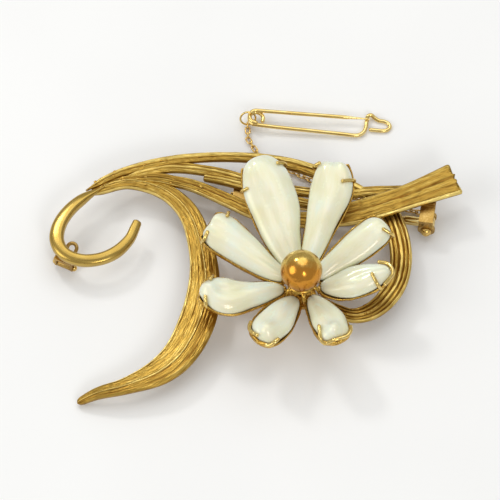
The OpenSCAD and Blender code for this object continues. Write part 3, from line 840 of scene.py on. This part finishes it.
@dataclass(frozen=True)
class Petal:
    """One pearl petal with its cup and claws.

    spine rows are (x, y, z, width, share of the full thickness). rims are the cup's two edges as
    angles round the pearl, and claws are paths of (place along, angle round).
    """

    number: int
    spine: tuple[tuple[float, ...], ...]
    blunt: float
    rims: tuple[float, float]
    claws: tuple[tuple[tuple[float, float], ...], ...]
    lobes: tuple[tuple[float, float, float, float], ...] = ()
    slant: float = 0.0
    notch: float = 0.0
    cup_reach: float = 0.93

    THICK = 2.7
    GAP = 0.08
    WALL = 0.4
    CLAW = 0.55

    def surface(self, u: Array, w: Array, raised: Array | float, carved: bool = False) -> Array:
        """Points on or over the pearl.

        Args:
            u: places along the pearl, 0 to 1.
            w: angles round it in degrees, with 90 on top.
            raised: distance out from the pearl.
            carved: whether the pearl's own waves and lobes count.

        Returns:
            Points, in the layout.
        """
        f = Route(self.spine).frames(u)
        c = np.sqrt(np.maximum(0, 1 - np.abs(2 * u - 1) ** self.blunt))
        g = raised * np.minimum(1, c * 1.6)
        a = np.radians(w)
        wide, tall = f.width / 2 * c + g, self.THICK / 2 * f.thick * c + g
        if carved:
            swell = self.waves(u, w) * np.minimum(1, c * 1.4)
            sides = 0.13 * Grain(300 + self.number).at(u * 4.5, np.sign(np.cos(a)) * 3.0)
            wide = wide + (swell * 0.4 + sides + 0.05) * np.minimum(1, c * 1.4)
            tall = tall + swell + 0.04
        points = (f.middle + f.along * (raised * (2 * u - 1))[:, None]
                  + f.side * (wide * np.cos(a))[:, None] + f.up * (tall * np.sin(a))[:, None])
        if carved:
            across = wide * np.cos(a)
            slanted = ease(u, 0.7, 1.0) * self.slant * across
            notched = ease(u, 0.8, 1.0) * self.notch * np.exp(-(across / (0.2 * f.width)) ** 2)
            points = points + f.along * (slanted - notched)[:, None]
        return points

    def waves(self, u: Array, w: Array) -> Array:
        """The pearl's flutes and lobes.

        Args:
            u: places along the pearl, 0 to 1.
            w: angles round it in degrees, with 90 on top.

        Returns:
            Their heights in millimetres.
        """
        grain = Grain(100 + self.number)
        over = np.maximum(0, np.sin(np.radians(w)))
        turn = np.radians(w * 2.3 + 47 * self.number) + 1.8 * u
        flutes = 0.20 * (np.abs(np.cos(turn)) - 0.6)
        slow = 0.18 * grain.at(u * 3.2, w / 50.0)
        made = (flutes + slow) * over
        for place, angle, size, height in self.lobes:
            near = ((u - place) / size) ** 2 + ((w - angle) / (size * 190)) ** 2
            made = made + height * np.exp(-near)
        return made

    def grid(self, rings: int, angles: Array, raised: Array | float, carved: bool,
             reach: float = 1.0) -> Array:
        """Rings of points along the pearl.

        Args:
            rings: number of steps.
            angles: the angles of each ring.
            raised: distance out at each angle.
            carved: whether the pearl's own waves count.
            reach: share of the pearl's length at which the rings stop.

        Returns:
            Points as rings by angles by three.
        """
        u = reach * (1 - np.cos(np.pi * (np.arange(rings + 1) + 0.3) / (rings + 0.6))) / 2
        uu, ww = np.meshgrid(u, angles, indexing="ij")
        out = np.broadcast_to(np.asarray(raised, float), ww.shape)
        return self.surface(uu.ravel(), ww.ravel(), out.ravel(), carved).reshape(*uu.shape, 3)

    def pearl(self) -> Shape:
        """The pearl itself.

        Returns:
            The shape.
        """
        angles = 360 * (np.arange(72) + 0.5) / 72
        rings = self.grid(90, angles, 0.0, True)
        length = np.linalg.norm(np.diff(rings.mean(1), axis=0), axis=1)
        far = np.concatenate([[0], np.cumsum(length)])
        runs = np.stack(np.broadcast_arrays(far[:, None], np.cos(np.radians(angles))[None] * 3), -1)
        return skin(rings, runs)

    def cup(self) -> Shape:
        """The trough under the pearl, with worn, uneven rims.

        Returns:
            The shape.
        """
        a, b = self.rims
        span = np.linspace(0, 1, 29)
        outer, inner = a + (b - a) * span, a + (b - a) * span[::-1]
        angles = np.concatenate([outer, inner])
        raised = np.concatenate([np.full(29, self.GAP + self.WALL), np.full(29, self.GAP)])
        across = np.concatenate([span, span[::-1]])
        round_rim = np.minimum(1, 6 * across * (1 - across) + 0.35)
        middle = self.GAP + self.WALL / 2
        rings = self.grid(70, angles, middle + (raised - middle) * round_rim, False, self.cup_reach)
        grain = Grain(200 + self.number)
        outward = np.concatenate([np.ones(29), np.zeros(29)])
        far = np.linspace(0, 16, len(rings))[:, None]
        worn = 0.07 * grain.at(far * 1.3 + 0 * angles, angles / 22 + 0 * far) * outward
        core = rings.mean(1, keepdims=True)
        rings = rings + unit(rings - core) * worn[..., None]
        runs = np.stack(np.broadcast_arrays(far, (angles / 40)[None]), -1)
        return skin(rings, runs)

    def claw_wires(self) -> Shape:
        """The claw wires, rounded at their ends.

        Returns:
            Every claw of the petal as one shape.
        """
        wires = []
        for path in self.claws:
            points = np.array(path)
            count = 12 * len(points)
            over = np.full(len(points), self.GAP + self.CLAW / 2)
            held = self.surface(points[:, 0], points[:, 1], over)
            line = Route(tuple((*p, 0.0, 0.0) for p in held)).curve(count)
            share = np.linspace(0, 1, count)
            size = self.CLAW / 2 * (1.06 - 0.10 * ease(share, 0.3, 0.85) + 0.10 * ease(share, 0.88, 1.0))
            wires.append(tube(line, size, 18, 0.92))
        return merge(wires)


class Flower:
    """Pearl petals round a bead."""

    PETALS = (
        Petal(1, ((6.6, -7.1, 7.0, 3.4, 0.75), (4.9, -1.9, 7.8, 5.6, 0.9), (3.6, 2.9, 8.6, 7.3, 1),
                  (2.4, 6.8, 9.3, 7.3, 1), (0.6, 10.3, 9.9, 5.6, 0.9)), 5, (206, 344),
              (((0.80, 205), (0.80, 180), (0.81, 155), (0.82, 135)),
               ((0.72, -25), (0.71, 0), (0.70, 20), (0.70, 35))),
              ((0.80, 62, 0.25, 0.22), (0.55, 120, 0.3, 0.12))),
        Petal(2, ((8.3, -7.0, 7.0, 3.0, 0.75), (10.0, -1.5, 7.9, 4.0, 0.9), (11.2, 2.2, 8.6, 5.4, 1),
                  (12.2, 5.8, 9.3, 6.2, 1), (12.3, 9.9, 10.0, 5.6, 0.9)), 5, (188, 334),
              (((0.80, 205), (0.80, 180), (0.79, 150), (0.77, 118)),
               ((0.90, -25), (0.90, 0), (0.91, 25), (0.92, 40))),
              ((0.88, 130, 0.12, 0.35), (0.72, 75, 0.22, -0.18), (0.5, 100, 0.3, 0.12)), 0.06, 0.35),
        Petal(3, ((9.9, -8.2, 6.8, 2.6, 0.75), (12.1, -6.6, 7.3, 3.2, 0.85), (15.6, -4.1, 8.4, 4.7, 1),
                  (18.4, -2.1, 9.3, 5.0, 1), (20.1, -0.6, 9.8, 4.4, 0.9)), 5, (210, 356),
              (((0.88, 205), (0.88, 180), (0.87, 150), (0.84, 115)),),
              ((0.78, 100, 0.18, 0.2), (0.93, 60, 0.12, 0.22))),
        Petal(4, ((10.5, -9.7, 6.6, 2.6, 0.75), (13.2, -9.8, 7.3, 4.2, 0.9), (15.6, -9.5, 8.1, 4.9, 1),
                  (18.0, -9.2, 8.9, 4.3, 0.95), (20.8, -8.6, 9.6, 2.8, 0.8)), 4, (186, 336),
              (((0.80, 200), (0.80, 178), (0.79, 140), (0.77, 100)),
               ((0.86, 10), (0.95, 12), (0.995, 60), (0.97, 160), (0.86, 176))),
              ((0.62, 110, 0.2, 0.15), (0.9, 95, 0.12, 0.25)), cup_reach=0.975),
        Petal(5, ((9.0, -11.4, 6.6, 2.6, 0.75), (10.6, -14.1, 7.4, 4.0, 0.9), (11.7, -16.5, 8.3, 4.8, 1),
                  (12.4, -18.6, 9.1, 4.6, 1), (12.8, -19.8, 9.4, 4.0, 0.9)), 4, (176, 350),
              (((0.90, 200), (0.86, 180), (0.80, 160), (0.72, 145), (0.64, 135)),
               ((0.72, 5), (0.84, 6), (0.95, 10), (0.995, 60), (0.99, 150), (0.95, 185))),
              ((0.82, 88, 0.15, 0.62), (0.55, 90, 0.12, -0.15)), cup_reach=0.975),
        Petal(6, ((6.8, -11.6, 6.6, 2.6, 0.75), (5.2, -13.9, 7.3, 4.2, 0.9), (3.6, -16.5, 8.2, 5.2, 1),
                  (2.3, -18.6, 9.0, 4.8, 1), (1.5, -19.7, 9.4, 4.2, 0.9)), 4, (176, 350),
              (((0.70, 176), (0.82, 178), (0.93, 172), (0.985, 120)),
               ((0.78, 25), (0.84, 20), (0.92, 0), (0.96, -20))),
              ((0.80, 92, 0.15, 0.58), (0.53, 90, 0.12, -0.15)), cup_reach=0.975),
        Petal(7, ((5.0, -10.0, 6.6, 2.2, 0.75), (2.7, -10.7, 7.2, 3.2, 0.85), (0.0, -11.7, 7.9, 4.2, 0.95),
                  (-3.0, -12.4, 8.7, 5.6, 1), (-5.5, -12.0, 9.3, 5.0, 1), (-7.4, -11.5, 9.7, 3.4, 0.9)),
              4, (188, 362),
              (((0.84, 205), (0.84, 180), (0.85, 155), (0.86, 130)),
               ((0.80, -25), (0.82, 0), (0.84, 25), (0.86, 45))),
              ((0.90, 95, 0.12, 0.48), (0.45, 100, 0.25, 0.16), (0.72, 90, 0.1, -0.18))),
        Petal(8, ((5.3, -8.4, 6.8, 2.4, 0.75), (2.1, -6.5, 7.5, 3.8, 0.9), (-1.2, -4.1, 8.3, 5.2, 1),
                  (-4.2, -2.0, 9.2, 6.0, 1), (-6.4, -0.7, 9.7, 5.4, 0.9)), 6, (190, 366),
              (((0.86, -25), (0.86, 0), (0.86, 30), (0.87, 55)),
               ((0.80, 205), (0.80, 180), (0.80, 155), (0.79, 135))),
              ((0.93, 130, 0.12, 0.4), (0.93, 45, 0.12, 0.35), (0.86, 88, 0.10, -0.2), (0.62, 85, 0.2, 0.2)),
              0.0, 0.3),
    )
    BEAD_D = 6.2
    TABS = (93, 55.5, 18.5, -23.5, -81.5, -145, 166.5, 129.5)

    def __init__(self, layout: Layout, finishes: Finishes) -> None:
        """Keeps what the flower is built with.

        Args:
            layout: where pieces go.
            finishes: what they are dressed in.
        """
        self.layout = layout
        self.finishes = finishes

    def bead(self) -> Shape:
        """The polished bead: two pressed halves with a soft seam and a few small dents.

        Returns:
            The shape.
        """
        low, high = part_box("centre_bead")
        middle = np.array((low + high) / 2) / MM - self.layout.shift
        r = self.BEAD_D / 2
        angle = np.radians(np.linspace(-88, 88, 110))
        seam = 0.012 * np.exp(-(np.degrees(angle) / 1.6) ** 2)
        profile = np.stack([(r - seam) * np.cos(angle), (r - seam) * np.sin(angle)], -1)
        made = lathe(profile, middle, 160)
        out = unit(made.points - middle)
        azimuth = np.degrees(np.arctan2(out[:, 1], out[:, 0]))
        height = np.degrees(np.arcsin(np.clip(out[:, 2], -1, 1)))
        dents = 0.03 * Grain(9).at(azimuth / 20, height / 20) * np.cos(np.radians(height))
        for where, tall, size, depth in ((-60, 40, 6, 0.05), (-20, 55, 5, 0.03), (-110, 30, 7, 0.04)):
            aside = (azimuth - where) * np.cos(np.radians(height)) / size
            near = aside ** 2 + ((height - tall) / size) ** 2
            dents = dents - depth * np.exp(-near)
        made.points = made.points + out * dents[:, None]
        return made

    def collar(self) -> Shape:
        """The collar under the bead, with a tab bent down between each pair of petals.

        Returns:
            The collar and its tabs as one shape.
        """
        middle = np.array([*self.layout.FLOWER, 0.0])
        profile = np.array([(1.25, 7.9), (1.55, 7.86), (1.95, 8.0), (2.12, 8.2), (2.06, 8.42), (1.8, 8.6),
                            (1.45, 8.68), (1.2, 8.7)])
        parts = [lathe(profile, middle, 64)]
        for angle in self.TABS:
            out = np.array([math.cos(math.radians(angle)), math.sin(math.radians(angle)), 0.0])
            path = np.array([middle + out * r + [0, 0, z] for r, z in
                             ((1.5, 8.3), (2.0, 8.32), (2.45, 8.1), (2.75, 7.6), (2.85, 7.0))])
            path = Route(tuple((*p, 0.0, 0.0) for p in path)).curve(24)
            parts.append(tube(path, np.linspace(0.34, 0.24, 24), 16, 0.62))
        return merge(parts)

    def build(self) -> None:
        """Makes the petals, their metalwork and the bead."""
        put, finish = self.layout.piece, self.finishes
        for p in self.PETALS:
            n = p.number
            put(f"pearl_{n}_carved", p.pearl(), Body.BROOCH, Slot.PEARL, finish.pearl, (f"pearl_{n}",))
            put(f"cup_{n}_worn", p.cup(), Body.BROOCH, Slot.SETTING, finish.setting, (f"cup_{n}",))
            put(f"claws_{n}_wire", p.claw_wires(), Body.BROOCH, Slot.SETTING, finish.claw, (f"claws_{n}",))
        put("bead_collar", self.collar(), Body.BROOCH, Slot.SETTING, finish.setting)
        put("bead_polished", self.bead(), Body.BROOCH, Slot.POLISHED, finish.polished, ("centre_bead",))


# ---------- chain and safety pin ----------


@dataclass
class SafetyChain:
    """The chain, its ring and the safety pin."""

    layout: Layout
    finishes: Finishes
    link_wire: float = 0.22
    link_width: float = 0.66
    link_side: float = 0.53
    runs: tuple[tuple[str, Body, str, int, float], ...] = (
        ("chain_near", Body.CHAIN_A, "chain_swing", 8, 165.0),
        ("chain_middle", Body.CHAIN_B, "chain_bend_1", 8, 152.0),
        ("chain_far", Body.CHAIN_C, "chain_bend_2", 2, 120.0),
        ("chain_end", Body.CHAIN_D, "chain_bend_3", 1, 92.0))
    ring_r: float = 1.15
    ring_wire: float = 0.3
    pin_wire: float = 0.6
    coil_r: float = 1.05
    turn: tuple[float, float] = (2.6, -4.3)
    guard: tuple[tuple[float, float, float], ...] = (
        (3, -1.18, 0), (8, -1.27, 0), (13, -1.37, 0), (15.2, -1.4, 0), (16.2, -0.9, 0), (16.6, 0, 0),
        (16.7, 1.1, 0), (16.8, 1.9, 0.25), (17.3, 2.15, 0.3), (17.8, 1.85, 0.15), (18.5, 1.5, 0),
        (19.3, 1.42, 0), (20.0, 1.1, 0), (20.25, 0.6, 0), (20.0, 0.1, 0), (19.3, -0.2, 0), (17.4, -0.2, 0))
    arm_length: float = 17.2
    arm_point: float = 4.0

    def loop(self, path: Array, radius: float, sides: int = 14) -> Shape:
        """Closed round bar along a loop.

        Args:
            path: points of the loop, each once.
            radius: the bar's radius.
            sides: points round the bar.

        Returns:
            The shape.
        """
        along = unit(np.roll(path, -1, 0) - np.roll(path, 1, 0))
        flat = unit(np.cross(path[1] - path[0], path[len(path) // 3] - path[0]))
        side = unit(np.cross(flat, along))
        up = np.cross(along, side)
        w = 2 * np.pi * np.arange(sides) / sides
        rings = path[:, None] + radius * (side[:, None] * np.cos(w)[None, :, None]
                                          + up[:, None] * np.sin(w)[None, :, None])
        m = len(path)
        faces = [(i * sides + k, i * sides + (k + 1) % sides, ((i + 1) % m) * sides + (k + 1) % sides,
                  ((i + 1) % m) * sides + k) for i in range(m) for k in range(sides)]
        return Shape(rings.reshape(-1, 3), faces, np.zeros((m * sides, 2)))

    def link(self, middle: Array, heading: float, roll: float) -> Shape:
        """One link of the chain.

        Args:
            middle: its middle.
            heading: its direction in degrees.
            roll: its turn about its own length in degrees, 0 when it stands on its narrow side.

        Returns:
            The shape.
        """
        r, half = self.link_width / 2, self.link_side / 2
        bend = np.linspace(-90, 90, 13)
        right = [(half + r * math.cos(math.radians(a)), r * math.sin(math.radians(a))) for a in bend]
        left = [(-x, -y) for x, y in right]
        flat = np.array(right + left)
        t, h = math.radians(roll), math.radians(heading)
        path = np.stack([flat[:, 0], flat[:, 1] * math.sin(t), flat[:, 1] * math.cos(t)], -1)
        turned = np.array([[math.cos(h), -math.sin(h), 0], [math.sin(h), math.cos(h), 0], [0, 0, 1.0]])
        return self.loop(path @ turned.T + middle, self.link_wire / 2)

    def chain(self) -> None:
        """Makes the chain's runs."""
        pitch = 2 * self.link_side + self.link_width
        upright = (self.link_side + self.link_width) / 2
        lying = self.link_side + self.link_width + self.link_side / 2
        lean = np.random.default_rng(3)
        for name, body, joint, pairs, heading in self.runs:
            start = self.layout.pivot(joint)
            ahead = np.array([math.cos(math.radians(heading)), math.sin(math.radians(heading)), 0])
            places = [(i * pitch + upright, 0.0) for i in range(pairs)]
            places += [(i * pitch + lying, 90.0) for i in range(pairs)]
            if name == self.runs[-1][0]:
                places.append((pairs * pitch + upright, 0.0))
            loose = 0.0 if name == self.runs[-1][0] else 5.0
            links = [self.link(start + ahead * far, heading, roll + lean.uniform(-loose, loose))
                     for far, roll in places]
            self.layout.piece(f"{name}_links", merge(links), body, Slot.CHAIN, self.finishes.chain, (name,))

    def pin_axes(self) -> Array:
        """Axes of the safety pin's own frame.

        Returns:
            The three axes as columns.
        """
        a, b = (math.radians(x) for x in self.turn)
        roll = np.array([[math.cos(a), 0, math.sin(a)], [0, 1, 0], [-math.sin(a), 0, math.cos(a)]])
        yaw = np.array([[math.cos(b), -math.sin(b), 0], [math.sin(b), math.cos(b), 0], [0, 0, 1]])
        return yaw @ roll

    def safety_pin(self) -> None:
        """Makes the safety pin's two halves and the ring."""
        axes, coil = self.pin_axes(), self.layout.pivot("safety_arm_flex")
        turns = [(self.coil_r * math.cos(math.radians(a)), self.coil_r * math.sin(math.radians(a)), 0.0)
                 for a in range(-20, 271, 29)]
        rows = tuple((*p, 0.0, 0.0) for p in (*turns, *self.guard))
        back = Route(rows).curve(420) @ axes.T + coil
        radius = np.full(len(back), self.pin_wire / 2)
        put, finish = self.layout.piece, self.finishes
        put("safety_pin_back", tube(back, radius, 24), Body.SAFETY, Slot.PIN, finish.pin,
            ("safety_pin_body",))
        layer = self.pin_wire + 0.03
        half = [(self.coil_r * math.cos(math.radians(a)), self.coil_r * math.sin(math.radians(a)), layer)
                for a in np.linspace(270, 92, 40)]
        slope = math.radians(0.7)
        far = np.linspace(0, self.arm_length, 90)
        straight = np.stack([far * math.cos(slope), self.coil_r + far * math.sin(slope), 0 * far + layer], -1)
        arm = np.concatenate([half, straight]) @ axes.T + coil
        tip = np.clip((self.arm_length - far) / self.arm_point, 0, 1)
        size = np.concatenate([np.ones(40), 0.2 + 0.8 * tip]) * self.pin_wire / 2
        put("safety_pin_point", tube(arm, size, 24), Body.ARM, Slot.PIN, finish.pin, ("safety_pin_arm",))
        ring = frame["nodes"]["jump_ring"]
        points = np.array([v.co for v in ring.data.vertices]) / MM - self.layout.shift
        middle = (points.max(0) + points.min(0)) / 2
        spread, around = np.linalg.eigh(np.cov((points - middle).T))
        a = np.linspace(0, 2 * np.pi, 72, endpoint=False)
        path = middle + self.ring_r * (np.outer(np.cos(a), around[:, 2]) + np.outer(np.sin(a), around[:, 1]))
        put("turning_ring", self.loop(path, self.ring_wire / 2, 18), Body.SAFETY, Slot.PIN, finish.pin,
            ("jump_ring",))

    def build(self) -> None:
        """Makes the chain and the safety pin."""
        self.chain()
        self.safety_pin()


# ---------- fittings on the back ----------


class Fittings:
    """Nodes of the frame that stay in view, with worn edges and their own finishes."""

    FINISH = {
        "flower_base": "setting", "bead_post": "setting", "petal_rests": "setting",
        "hinge_base": "fitting", "hinge_rivet": "chain", "pin_stem": "pin",
        "catch_body": "fitting", "catch_sleeve": "chain",
        "bail_base": "fitting", "bail_pin": "chain", "bail_loop": "fitting", "chain_eye": "chain"}
    EDGE = 0.07

    def __init__(self, finishes: Finishes) -> None:
        """Keeps the finishes.

        Args:
            finishes: what the fittings are dressed in.
        """
        self.finishes = finishes

    def build(self) -> None:
        """Dresses every fitting and softens its edges."""
        for name, finish in self.FINISH.items():
            node = frame["nodes"][name]
            node.data.materials.clear()
            node.data.materials.append(getattr(self.finishes, finish))
            weld = node.modifiers.new("joined_edges", "WELD")
            weld.merge_threshold = 0.002 * MM
            bevel = node.modifiers.new("worn_edges", "BEVEL")
            bevel.width = self.EDGE * MM
            bevel.segments = 3
            bevel.limit_method = "ANGLE"
            bevel.angle_limit = math.radians(40)
            bevel.use_clamp_overlap = True
            LOG.info("%s: dressed", name)


# ---------- the studio ----------


@dataclass(frozen=True)
class Lamp:
    """A soft lamp: azimuth and elevation in degrees, distance and size in metres."""

    name: str
    azimuth: float
    elevation: float
    distance: float
    size: float
    power: float
    colour: Colour = (1, 1, 1)


@dataclass
class Studio:
    """Pale floor, soft light and the camera."""

    layout: Layout
    scale: float = 75.0
    tilt: float = 28.0
    lens: float = 500.0
    sensor: float = 36.0
    lamps: tuple[Lamp, ...] = (
        Lamp("overhead", 165, 66, 0.50, 0.46, 0.62),
        Lamp("window", 215, 48, 0.55, 0.09, 0.42),
        Lamp("left_fill", -70, 35, 0.60, 0.40, 0.85),
        Lamp("front_fill", 20, 40, 0.60, 0.20, 0.55))
    world: Colour = (0.80, 0.80, 0.79)
    world_strength: float = 0.66

    def camera(self) -> None:
        """Places the camera so that the layout's origin is in the middle of the view."""
        data = bpy.data.cameras.new("camera")
        data.lens, data.sensor_width = self.lens, self.sensor
        distance = self.scale * MM * self.lens / self.sensor
        data.clip_start, data.clip_end = distance * 0.1, distance * 4
        made = bpy.data.objects.new("camera", data)
        bpy.context.scene.collection.objects.link(made)
        t = math.radians(self.tilt)
        back = Vector((0, -math.sin(t), math.cos(t)))
        made.location = Vector(self.layout.shift * MM) + back * distance
        made.rotation_mode = "QUATERNION"
        made.rotation_quaternion = (-back).to_track_quat("-Z", "Y")
        bpy.context.scene.camera = made

    def floor(self) -> None:
        """A wide plain floor just under the brooch."""
        mesh = bpy.data.meshes.new("floor")
        far, low = 1.5, -0.00002
        corners = [(-far, -far, low), (far, -far, low), (far, far, low), (-far, far, low)]
        mesh.from_pydata(corners, [], [(0, 1, 2, 3)])
        t = Tree("floor")
        pale = t.ramp(t.lumps(40.0), [(0.3, (0.90, 0.90, 0.89)), (0.7, (0.93, 0.93, 0.92))])
        t.set(t.shader, {"Base Color": pale, "Roughness": 0.9, "Specular IOR Level": 0.1})
        mesh.materials.append(t.material)
        made = bpy.data.objects.new("floor", mesh)
        bpy.context.scene.collection.objects.link(made)

    def light(self) -> None:
        """Soft lamps and an even surround."""
        for lamp in self.lamps:
            data = bpy.data.lights.new(lamp.name, "AREA")
            data.shape, data.size, data.energy, data.color = "DISK", lamp.size, lamp.power, lamp.colour
            made = bpy.data.objects.new(lamp.name, data)
            bpy.context.scene.collection.objects.link(made)
            a, e = math.radians(lamp.azimuth), math.radians(lamp.elevation)
            away = Vector((math.sin(a) * math.cos(e), -math.cos(a) * math.cos(e), math.sin(e)))
            made.location = away * lamp.distance
            made.rotation_mode = "QUATERNION"
            made.rotation_quaternion = (-away).to_track_quat("-Z", "Y")
        world = bpy.data.worlds.new("studio")
        bpy.context.scene.world = world
        world.use_nodes = True
        surround = world.node_tree.nodes["Background"]
        surround.inputs[0].default_value = (*self.world, 1)
        surround.inputs[1].default_value = self.world_strength

    def build(self) -> None:
        """Sets the studio up."""
        self.camera()
        self.floor()
        self.light()
        bpy.context.scene.view_settings.view_transform = "Standard"


def main() -> None:
    """Builds every part of the brooch in order."""
    logging.basicConfig(level=logging.INFO, format="%(message)s")
    layout, finishes = Layout(), Finishes()
    Studio(layout).build()
    Spray(layout, finishes).build()
    Flower(layout, finishes).build()
    SafetyChain(layout, finishes).build()
    Fittings(finishes).build()


if __name__ == "__main__":
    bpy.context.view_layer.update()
    main()
